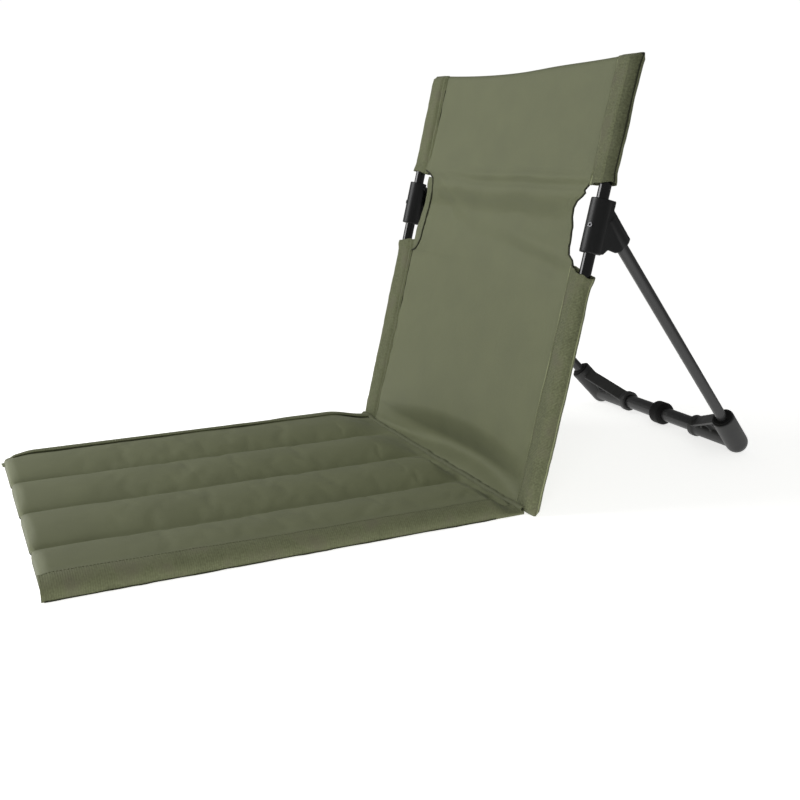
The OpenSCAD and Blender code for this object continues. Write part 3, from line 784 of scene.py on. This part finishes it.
def make_sleeve(side, name, part, low, high, seed):
    rows = int((high - low) / ROW)
    up = np.linspace(low, high, rows)[:, None]
    x, y = sleeve_ring[:RING].T[:, None]
    nx, ny = sleeve_normal[:RING].T[:, None]
    lift = sleeve_relief(sleeve_arc[None, :RING], up, seed)
    at_top = part == "upper"
    open_end, shut_end = (low, high) if at_top else (high, low)
    shut = 1 - ramp(0, 5 * MM, np.abs(up - shut_end))
    near_open = 1 - ramp(0, MOUTH, np.abs(up - open_end))
    out = (x - TIP_X) / (SLEEVE_R - TIP_X)
    slope = MOUTH_SLOPE[part] * out * (1 - ramp(0, 30 * MM, np.abs(up - open_end)))
    skin = Skin()
    rings = []
    for inside in (0, 1):
        offset = lift - inside * SLEEVE_WALL
        px = x + nx * offset + 2.2 * MM * near_open * out
        py = (y + ny * offset) * (1 - 0.62 * shut) * (1 + 0.12 * near_open)
        ragged = 1.3 * MM * soft_noise(x, y, 6 * MM, seed + 5) * near_open ** 3
        curl = 5 * MM * ramp(2 * MM, 12 * MM, x) * (1 - ramp(0, 12 * MM, high - up)) if at_top else 0
        points = on_back(side * (pole_x + px), py + curl * 0.4, up + slope + ragged + curl * 0.3)
        points[..., 2] = np.maximum(points[..., 2], FLOOR_GAP)
        marks = sleeve_marks(side, part, rows, seed) if not inside else PLAIN
        rings.append(skin.grid(points, sleeve_arc[None, :], up, wrap=True, marks=marks))
    skin.bridge(rings[0][0], rings[1][0], closed=True)
    skin.bridge(rings[0][-1], rings[1][-1], closed=True)
    sleeve = skin.build(f"{part}_sleeve_cloth_{name}")
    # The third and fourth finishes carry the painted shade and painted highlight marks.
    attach(dress(sleeve, "sleeve", ("band" if side > 0 else "webbing", "binding_and_painted_shade", "ridge")),
            "back_frame")
    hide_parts(f"{part}_sleeve_{name}")


def sleeve_line(side, arc_at, low, high, seed):
    """A line along a sleeve at arc_at round the pocket, with its normal, for stitches."""
    up = np.linspace(low, high, 120)
    arc = arc_at + seam_wander(up, seed)
    x, y = points_at(arc, sleeve_arc, sleeve_ring).T
    lift = sleeve_relief(arc, up, seed)
    facing = 1 if arc_at < sleeve_arc[-1] / 2 else -1
    path = on_back(side * (pole_x + x), y - facing * lift, up)
    return path, back_normal * facing


def make_sleeves():
    """Four pockets round the poles, and their stitching."""
    sewing = Skin()
    for name, side in SIDES.items():
        lower_end = OPENING_LOW if side > 0 else OPENING_LOW - 4 * MM
        runs = (("lower", 0.0, lower_end, 100), ("upper", OPENING_TOP, HEM_AT + HEM_RISE, 200))
        for part, low, high, seed in runs:
            own = seed + 10 * side
            make_sleeve(side, name, part, low, high, own)
            for arc in (INNER_SEAM + 3 * MM, sleeve_arc[-1] - INNER_SEAM + 3 * MM):
                stitch(sewing, *sleeve_line(side, arc, low + 8 * MM, high - 10 * MM, own))
    thread = sewing.build("back_stitching", tidy=False)
    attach(dress(thread, "thread"), "back_frame")


# Seat mat
CHANNELS = 4
SEAT_LEN = float(crease.y - mat_low.y)
MAT_HALF = float(mat_high.x)
CROWN = 20 * MM
VALLEY = 4.5 * MM
SIDE_H = 6 * MM
SIDE_R = 20 * MM
SIDE_SHOULDER = 22 * MM
SIDE_TOP = 17.5 * MM
MAT_BACK = 1.4 * MM
TAPER = 60 * MM
STEEP_TAPER = 34 * MM
NOSE = 2.5 * MM
FRONT_H = 7 * MM
FRONT_SLOPE = 12 * MM
SCALLOP = 3 * MM
CREASE_H = 8 * MM
CREASE_SIDE_H = 5 * MM
BACK_ZONE = 70 * MM
FRONT_ZONE = 32 * MM


def channel_wave(s):
    """0 on a sewn valley and 1 on a crown."""
    return np.abs(np.sin(np.pi * (s + 1) / 2 * CHANNELS))


def rounded(e, radius):
    """Rises from 0 to 1 with the distance e from an edge, like a round of the given radius."""
    return (1 - (1 - np.clip(e / radius, 0, 1)) ** 2.3) ** (1 / 2.3)


def crease_height(s):
    return CREASE_SIDE_H + (CREASE_H - CREASE_SIDE_H) * ramp(0, 0.16, 1 - np.abs(s))


def seat_growth(s, d):
    """0 at the crease and 1 where the mat has its full height. The near half rises later and steeper."""
    near_side = ramp(-0.3, 0.3, s)
    x = s * MAT_HALF
    start = 9 * MM * near_side * (1 + soft_noise(x, 0, 15 * MM, 62))
    end = TAPER + (STEEP_TAPER - TAPER) * near_side + 5 * MM * soft_noise(x, 0, 28 * MM, 63)
    return ramp(start, end, d)


def far_corner(s, d):
    """1 at the front corner of the far side, where the mat thins out."""
    return ramp(0.78, 0.97, -s) * ramp(SEAT_LEN - 36 * MM, SEAT_LEN - 2 * MM, d)


def mat_height(s, d, fill=1.0):
    """Height of the mat's top at s across, from -1 to 1, and d from the crease."""
    from_edge = (1 - np.abs(s)) * MAT_HALF
    side = ramp(0.0, 1.0, 1 - (1 - np.abs(s)) * CHANNELS)
    wave = channel_wave(s) ** (0.62 - 0.2 * side)
    valley = VALLEY + (SIDE_H - VALLEY) * side
    full = valley + (CROWN - valley) * fill * wave
    full = np.where(from_edge < SIDE_SHOULDER, SIDE_TOP, full)
    full = full + (SIDE_TOP - full) * (1 - ramp(SIDE_SHOULDER, SIDE_SHOULDER + 16 * MM, from_edge))
    height = crease_height(s) + (full - crease_height(s)) * seat_growth(s, d)
    height = height * (1 - 0.3 * far_corner(s, d))
    return height * (0.15 + 0.85 * rounded(from_edge, SIDE_R))


def mat_relief(s, d):
    """The cloth's own dips and puckers, which lie on the mat's shape."""
    x = s * MAT_HALF
    seam = 1 - ramp(0.0, 0.24, channel_wave(s))
    grown = ramp(0, TAPER, d)
    near_side = ramp(-0.25, 0.25, s)
    dip = -2.0 * MM * hump(d, 13 * MM, 6 * MM) * near_side * (1 + 0.9 * soft_noise(x, 0, 15 * MM, 62))
    fan = 1.6 * MM * soft_noise(x + 0.25 * (d - 15 * MM), d * 0.2, 10 * MM, 61)
    fan = fan * ramp(75 * MM, 12 * MM, d) * ramp(3 * MM, 9 * MM, d) * (0.35 + 0.65 * near_side)
    relief = dip + fan + 0.55 * MM * soft_noise(d, x, 16 * MM, 67) * seam * grown
    relief += 0.7 * MM * soft_noise(x * 1.5, d, 60 * MM, 71) * grown
    groove = (1 - np.abs(s)) * MAT_HALF - 25 * MM - 0.8 * MM * soft_noise(d, 0, 21 * MM, 79)
    relief -= 1.8 * MM * hump(groove, 0, 1.8 * MM) * (s < 0) * grown
    return relief * ramp(SEAT_LEN - NOSE, SEAT_LEN - FRONT_SLOPE, d)


def mat_point(s, d, fill=1.0):
    """A point of the mat's top. Past the front edge, d goes on down the rounded nose."""
    curl = SCALLOP * ramp(0.72, 1.0, 1 - channel_wave(s)) * ramp(SEAT_LEN - FRONT_ZONE, SEAT_LEN, d)
    over = np.clip((d - (SEAT_LEN - NOSE)) / NOSE, 0, 2)
    turn = over * math.pi / 2
    height = mat_height(s, np.minimum(d, SEAT_LEN - NOSE), fill)
    droop = 1 - (1 - FRONT_H / height) * (1 - rounded(SEAT_LEN - d, FRONT_SLOPE))
    sunk = height * droop * (1 - 0.5 * (1 - np.cos(np.minimum(turn, math.pi))))
    reach = np.where(over > 0, SEAT_LEN - NOSE + NOSE * np.sin(np.minimum(turn, math.pi / 2)), d)
    reach = reach - np.clip(over - 1, 0, 1) ** 2 * 3 * MM
    y = crease.y - reach + curl
    z = np.maximum(sunk, FLOOR_GAP)
    return stacked(s * MAT_HALF, y, z)


# Steps across a channel, and the finer rows' distances from the mat's side in millimetres
CHANNEL_STEPS = 28
SIDE_ROWS = (0, 0.6, 1.5, 2.7, 4.2, 6, 8.2, 11, 14.5, 18.5)


def mat_grid():
    """Places across and along the mat, closer together at its sides, crease and nose."""
    s = np.linspace(-1, 1, CHANNEL_STEPS * CHANNELS + 1)
    fine = 1 - np.array(SIDE_ROWS) * MM / MAT_HALF
    inside = s[np.abs(s) < fine[-1] - 0.01]
    s = np.concatenate([-fine, inside, fine[::-1]])
    spans = [(MAT_BACK, BACK_ZONE, 33), (BACK_ZONE, SEAT_LEN - FRONT_ZONE, 77),
             (SEAT_LEN - FRONT_ZONE, SEAT_LEN - NOSE, 21), (SEAT_LEN - NOSE, SEAT_LEN + NOSE, 8)]
    return s[None, :], joined(spans)[:, None]


# Swelling of the channels: what is held, the force, its limits and the share that is used
SLACK_FILL = 0.86
HELD_SIDE = 26 * MM
HELD_BACK = 8 * MM
PRESSURE = 4.0
MOST_SWELLING = 4 * MM
CLOTH_EXCESS = 0.006
SWOLLEN_SHARE = 0.7


def swollen_mat(s, d):
    """The mat's top after its channels swell between their seams."""
    skin = Skin()
    skin.grid(mat_point(s, d, SLACK_FILL)[:, ::-1], *np.broadcast_arrays(s * MAT_HALF, d))
    trial = skin.build("mat_trial", tidy=False)
    seam = channel_wave(s) < 0.02
    side = (1 - np.abs(s)) * MAT_HALF < HELD_SIDE
    ends = (d < HELD_BACK) | (d > SEAT_LEN - 1.5 * FRONT_SLOPE)
    held = seam | side | ends
    swollen = swell(trial, held.ravel(), PRESSURE, MOST_SWELLING, CLOTH_EXCESS)
    swollen = swollen.reshape(len(d), s.shape[1], 3)[:, ::-1]
    bpy.data.objects.remove(trial)
    plain = mat_point(s, d)
    share = SWOLLEN_SHARE * ramp(HELD_BACK, 50 * MM, d)
    share = share * (1 - ramp(SEAT_LEN - 130 * MM, SEAT_LEN - 20 * MM, d))
    return plain + (swollen - plain) * share[..., None]


def make_mat():
    """The padded mat: four channels swollen by simulation between their seams."""
    s, d = mat_grid()
    top = swollen_mat(s, d)
    top[..., 2] = np.maximum(top[..., 2] + mat_relief(s, d), FLOOR_GAP)
    bottom = top.copy()
    bottom[..., 2] = FLOOR_GAP
    across, along = np.broadcast_arrays(s * MAT_HALF, d)
    kept = len(d) - 4
    skin = Skin()
    upper = skin.grid(top, across, along)
    lower = skin.grid(bottom[:kept], across[:kept], along[:kept])
    skin.bridge(upper[0], lower[0])
    skin.bridge(upper[-1], lower[-1])
    skin.bridge(upper[:kept, 0], lower[:, 0])
    skin.bridge(upper[:kept, -1], lower[:, -1])
    mat = skin.build("seat_pad")
    refine(mat)
    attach(dress(mat, "fabric"), "seat")
    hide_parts("seat_mat")


# Ribbed strips over the mat's sides
STRIP_OVER = 1.9 * MM
STRIP_T = 1.2 * MM
STRIP_ROWS = 260
TAB_WIDTH = 21 * MM

# Where the strips start and how far they go past the mat's front
STRIP_BACK = -5 * MM
STRIP_PAST = {1: 1.5 * MM, -1: 2.5 * MM}

# Width of each strip on the mat's top at these distances from the crease
LAP_AT = (0, 263 * MM, SEAT_LEN)
LAP = {1: (14 * MM, 15.5 * MM, 22.6 * MM), -1: (22 * MM, 23 * MM, 24 * MM)}


def strip_lap(side, d):
    """Width of a strip on the mat's top. It narrows toward the crease."""
    lap = np.interp(d, LAP_AT, LAP[side]) + 0.8 * MM * soft_noise(d, side * 3, 18 * MM, 79)
    return lap + 1.2 * MM * soft_noise(d, side * 3, 42 * MM, 78)


def strip_height(side, e, d):
    """Height of a strip's face at e from the mat's edge."""
    s = 1 - e / MAT_HALF
    height = mat_height(side * s, d) + STRIP_OVER
    if side > 0:
        return height + 0.3 * MM * soft_noise(d, e, 26 * MM, 73)
    full = np.interp(d, [0, SEAT_LEN], [19 * MM, 16 * MM])
    level = full * ramp(0, TAPER, d) + (CREASE_H + STRIP_OVER) * (1 - ramp(0, TAPER, d))
    level = level + 0.9 * MM * soft_noise(d, 0, 38 * MM, 74) - 4 * MM * hump(d, 386 * MM, 12 * MM)
    level = level * (1 - 0.35 * far_corner(-1, d))
    return np.maximum(height, 2 * MM + (level - 2 * MM) * rounded(e, 10 * MM))


def strip_section(side, d):
    """The strip's face across it at each d: from its foot on the floor to its lapped edge."""
    share = np.concatenate([np.linspace(0, 0.3, 12, endpoint=False), np.linspace(0.3, 1, 14)])
    lap = strip_lap(side, d)[:, None]
    e = lap * share[None, :] ** 1.5
    x = MAT_HALF + STRIP_OVER * (1 - share) ** 3 - e
    z = strip_height(side, e, d[:, None])
    foot_x = np.repeat(MAT_HALF + STRIP_OVER, len(d))[:, None] - [[0.5 * MM, 0.1 * MM, 0]]
    foot_z = np.repeat([[FLOOR_GAP, 1.1 * MM, 2.1 * MM]], len(d), 0)
    x = np.concatenate([foot_x, x], 1)
    z = np.concatenate([foot_z, np.maximum(z, 2.7 * MM)], 1)
    z[:, -1] -= 0.5 * MM
    z[:, -2] -= 0.05 * MM
    return x, z


def make_strip(side, name, sewing):
    """Ribbed webbing folded over one side of the mat."""
    d = np.linspace(STRIP_BACK, SEAT_LEN + STRIP_PAST[side], STRIP_ROWS)
    x, z = strip_section(side, d)
    middle = STRIP_ROWS // 2
    arc = distances(stacked(x[middle], z[middle]))[None, :]
    drop = 1 - (0.1 if side > 0 else 0.7) * ramp(SEAT_LEN - 16 * MM, SEAT_LEN, d)[:, None] ** 2
    flow = unit(stacked(np.gradient(x, axis=1), np.gradient(z, axis=1)))
    skin = Skin()
    faces = []
    for inset in (0, STRIP_T):
        px, pz = x - flow[..., 1] * inset, z + flow[..., 0] * inset
        pz = np.maximum(pz * drop, FLOOR_GAP)
        points = stacked(side * px, crease.y - d[:, None], pz)
        faces.append(skin.grid(points, arc, d[:, None]))
    skin.hem(*faces)
    strip = skin.build(f"side_webbing_{name}")
    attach(dress(strip, "webbing"), "seat")
    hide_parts(f"seat_webbing_{name}")
    line = stacked(side * x[:, -3], crease.y - d, z[:, -3] * drop[:, 0] + 0.1 * MM)
    stitch(sewing, line, up_normal)


def make_strip_edge():
    """The dark rolled edge at the foot of the near strip."""
    d = np.linspace(30 * MM, SEAT_LEN - 1 * MM, 260)
    x = MAT_HALF + STRIP_OVER + 0.2 * MM + 0.4 * MM * soft_noise(d, 0, 20 * MM, 93)
    z = 1.1 * MM + 0.3 * MM * soft_noise(d, 0, 11 * MM, 94)
    skin = Skin()
    tube_along(skin, stacked(x, crease.y - d, z), 0.6 * MM)
    edge = skin.build("strip_edge_left")
    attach(dress(edge, "binding_and_painted_shade"), "seat")


def make_strip_tab():
    """The small folded end of the near strip at the front corner."""
    across, out = np.meshgrid(np.linspace(0, 1, 12), np.linspace(0, 1, 10))
    x = MAT_HALF + STRIP_OVER - 0.5 * MM - TAB_WIDTH * across
    y = mat_low.y + 3.5 * MM - 3.6 * MM * out ** 0.6 - 0.6 * MM * soft_noise(across, out, 0.3, 91)
    z = 6.5 * MM - 5.2 * MM * out + MM * np.sin(np.pi * across) * (1 - out)
    skin = Skin()
    faces = [skin.grid(stacked(x, y + layer, z), TAB_WIDTH * across, out * 8 * MM)
             for layer in (0, MM)]
    skin.hem(*faces)
    tab = skin.build("strip_tab_left")
    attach(dress(tab, "webbing"), "seat")


def make_seat():
    make_mat()
    sewing = Skin()
    for name, side in SIDES.items():
        make_strip(side, name, sewing)
    make_strip_edge()
    make_strip_tab()
    d = np.linspace(24 * MM, SEAT_LEN - 2 * NOSE, 150)
    for k in range(1, CHANNELS):
        s = np.full_like(d, 2 * k / CHANNELS - 1)
        line = mat_point(s, d)
        line[:, 2] += mat_relief(s, d) + 0.1 * MM
        stitch(sewing, line, up_normal)
    thread = sewing.build("seat_stitching", tidy=False)
    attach(dress(thread, "thread"), "seat")


def make_front_edge():
    """The sewn edge that closes the mat's front, drawn in at each seam."""
    s = np.linspace(-0.985, 0.985, 260)
    path = mat_point(s, np.full_like(s, SEAT_LEN + 0.75 * NOSE))
    path[:, 1] -= 0.3 * MM
    path[:, 2] = np.maximum(path[:, 2], 2 * MM)
    skin = Skin()
    tube_along(skin, path, 0.9 * MM * (1 + 0.2 * soft_noise(path[:, 0], 0, 12 * MM, 89)))
    piece = skin.build("front_edge")
    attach(dress(piece, "binding_and_painted_shade"), "seat")


# Crease roll, which lies further back near its two ends
ROLL_R = 3.7 * MM
ROLL_WALL = 1.1 * MM
ROLL_OUT = 2 * MM
ROLL_BEHIND = 0.8 * MM
ROLL_BELOW = 1.5 * MM
ROLL_END = 40 * MM
END_BEHIND = 2.2 * MM


def make_crease():
    """The roll of cloth where seat and back are sewn together."""
    x = np.linspace(-MAT_HALF - ROLL_OUT, MAT_HALF + ROLL_OUT, 320)
    y = crease.y + ROLL_BEHIND + 0.5 * MM * soft_noise(x, 0, 13 * MM, 97)
    y = y + END_BEHIND * ramp(MAT_HALF - ROLL_END, MAT_HALF - 15 * MM, np.abs(x))
    z = crease.z - ROLL_BELOW + 0.6 * MM * soft_noise(x, 0, 9 * MM, 98)
    z = z - 0.6 * MM * ramp(MAT_HALF - ROLL_END, MAT_HALF, np.abs(x))
    radius = ROLL_R * (1 + 0.12 * soft_noise(x, 0, 7 * MM, 99))
    skin = Skin()
    path = stacked(x, y, z)
    outer = tube_along(skin, path, radius)
    inner = tube_along(skin, path, radius - ROLL_WALL)
    skin.bridge(outer[0], inner[0], closed=True)
    skin.bridge(outer[-1], inner[-1], closed=True)
    roll = skin.build("crease_cloth")
    # Its colour is darkened to paint the shade in the crease.
    dress(roll, "seam")
    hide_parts("crease_piping")
    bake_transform(roll)


# Moulded and metal pieces
MOULD_ROUNDS = 5
MOULD_KEEP = 0.35


def make_moulded(node, look, voxel):
    """A softer copy of a moulded solid, with the small fillets that a mould leaves."""
    source = frame["nodes"][node]
    piece = linked(node + "_moulded", source.data.copy())
    remesh = piece.modifiers.new("Remesh", "REMESH")
    remesh.mode = "VOXEL"
    remesh.voxel_size = voxel
    smooth = piece.modifiers.new("Smooth", "SMOOTH")
    smooth.factor = 0.5
    smooth.iterations = MOULD_ROUNDS
    fewer = piece.modifiers.new("Decimate", "DECIMATE")
    fewer.ratio = MOULD_KEEP
    settle(piece)
    body = source.parent.name.removeprefix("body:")
    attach(dress(piece, look), body)
    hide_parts(node)


def make_hard_pieces():
    for name in SIDES:
        make_moulded(f"bracket_{name}", "moulding", 0.6 * MM)
        make_moulded(f"foot_{name}", "elbow", 0.8 * MM)
    looks = {"back_pole": "pole", "pole_foot_cap": "moulding", "pole_top_cap": "moulding",
             "bracket_rivet": "steel", "pivot_pin": "steel", "leg_eye": "moulding", "leg": "tube",
             "leg_grommet": "rubber", "crossbar": "tube", "crossbar_ferrule": "steel",
             "crossbar_collar": "rubber"}
    for node, obj in frame["nodes"].items():
        kind = node.removesuffix("_left").removesuffix("_right")
        if kind in looks:
            dress(obj, looks[kind])


# Studio
CAMERA_AT = Vector((1.09105, -0.49180, 0.39248))
AZIMUTH = math.radians(64.97)
ELEVATION = math.radians(13.58)
ROLL = math.radians(-0.38)
LENS = 45.98
SHIFT = (-0.0044, -0.0207)
LIT_AT = Vector((0, 0, 0.2))
KEY_FROM = Vector((-0.435, -0.726, 0.532))
KEY_DISTANCE = 1.7
KEY_SIZE = 1.2
KEY_POWER = 21.5
FILL_AT = (1.9, -0.7, 0.8)
FILL_SIZE = 1.5
FILL_POWER = 15
FILLING_SKY = 0.2
SEEN_SKY = 1.05
FLOOR_GLOW = 0.72
FLOOR_FADE = (0.45, 1.1)
PALE = (0.97, 0.97, 0.96)


def make_camera():
    ahead = Vector((-math.sin(AZIMUTH) * math.cos(ELEVATION), math.cos(AZIMUTH) * math.cos(ELEVATION),
                    -math.sin(ELEVATION)))
    right = Vector((math.cos(AZIMUTH), math.sin(AZIMUTH), 0))
    up = right.cross(ahead)
    side = right * math.cos(ROLL) + up * math.sin(ROLL)
    top = up * math.cos(ROLL) - right * math.sin(ROLL)
    data = bpy.data.cameras.new("camera")
    data.sensor_width = 36
    data.lens = LENS
    data.shift_x, data.shift_y = SHIFT
    data.clip_end = 100
    camera = linked("camera", data)
    camera.matrix_world = Matrix((side, top, -ahead)).transposed().to_4x4()
    camera.matrix_world.translation = CAMERA_AT
    bpy.context.scene.camera = camera


def make_light(name, at, size, power, mirrored=True):
    data = bpy.data.lights.new(name, "AREA")
    data.shape = "SQUARE"
    data.size = size
    data.energy = power
    lamp = linked(name, data)
    lamp.location = at
    lamp.visible_glossy = mirrored
    lamp.rotation_euler = (LIT_AT - Vector(at)).to_track_quat("-Z", "Y").to_euler()


def make_floor():
    """A pale floor that fades into the pale surroundings."""
    skin = Skin()
    turn = np.linspace(0, 2 * np.pi, 65)[None, :]
    reach = np.array([0.001, 1, 2, 4, 8])[:, None]
    points = stacked(reach * np.cos(turn), reach * np.sin(turn), 0 * turn)
    skin.grid(points, points[..., 0], points[..., 1])
    floor = skin.build("floor", tidy=False)
    f = Finish("floor")
    place = f.add("TexCoord", {}).outputs["Object"]
    distance = f.add("VectorMath", {0: place}, operation="LENGTH").outputs["Value"]
    fade_from, fade_to = FLOOR_FADE
    far = f.add("MapRange", {"Value": distance, "From Min": fade_from, "From Max": fade_to}).outputs[0]
    near = f.add("BsdfPrincipled", {
        "Base Color": (*PALE, 1), "Roughness": 0.7, "Specular IOR Level": 0.2,
        "Emission Color": (*PALE, 1), "Emission Strength": FLOOR_GLOW}).outputs[0]
    clear = f.add("BsdfTransparent", {}).outputs[0]
    f.add("OutputMaterial", {"Surface": f.add("MixShader", {0: far, 1: near, 2: clear}).outputs[0]})
    floor.data.materials.append(f.material)


def make_studio():
    world = bpy.data.worlds.new("studio")
    world.use_nodes = True
    tree = world.node_tree
    background = tree.nodes["Background"]
    background.inputs["Color"].default_value = (*PALE, 1)
    seen = tree.nodes.new("ShaderNodeLightPath").outputs["Is Camera Ray"]
    strength = tree.nodes.new("ShaderNodeMapRange")
    strength.inputs["To Min"].default_value = FILLING_SKY
    strength.inputs["To Max"].default_value = SEEN_SKY
    tree.links.new(seen, strength.inputs["Value"])
    tree.links.new(strength.outputs[0], background.inputs["Strength"])
    bpy.context.scene.world = world
    bpy.context.scene.view_settings.view_transform = "Standard"
    make_light("key", KEY_FROM * KEY_DISTANCE + LIT_AT, KEY_SIZE, KEY_POWER)
    make_light("fill", FILL_AT, FILL_SIZE, FILL_POWER, mirrored=False)
    make_floor()
    make_camera()


make_panel()
for side_name, side_sign in SIDES.items():
    make_opening_trim(side_sign, side_name)
make_facing()
make_sleeves()
make_seat()
make_front_edge()
make_crease()
make_hard_pieces()
make_studio()
